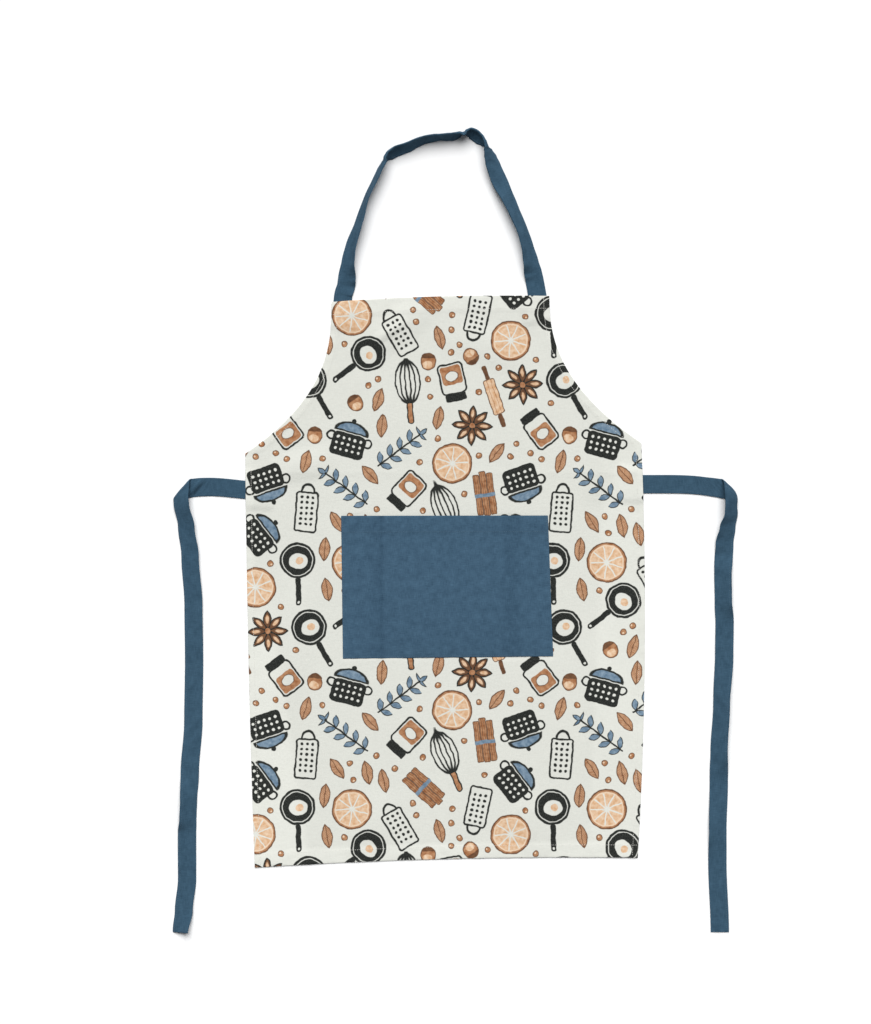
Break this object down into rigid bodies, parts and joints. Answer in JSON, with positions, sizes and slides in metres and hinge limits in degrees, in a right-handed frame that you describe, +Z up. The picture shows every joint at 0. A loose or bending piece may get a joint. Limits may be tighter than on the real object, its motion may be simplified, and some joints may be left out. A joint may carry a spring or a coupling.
{
  "type": "bib apron",
  "caption": "Cotton bib apron laid flat front side up, with a neck loop, waist ties turned over and laid down its sides, and an open patch pocket.",
  "frame": {"origin": "centre of the laid-out apron's bounding box, on the table it lies on", "axes": "+Z up off the table, +Y from the hem to the neck loop, +X across the apron to the right as seen from above"},
  "size_m": [0.805, 1.142, 0.0256],
  "materials": {
    "printed_cotton": "off-white plain-weave cotton with a scattered print",
    "blue_cotton": "steel-blue plain-weave cotton"
  },
  "bodies": {
    "root": {"apron_panel": "printed_cotton", "front_pocket": "blue_cotton", "neck_strap": "blue_cotton", "waist_tie_left": "blue_cotton", "waist_tie_right": "blue_cotton"}
  },
  "joints": []
}
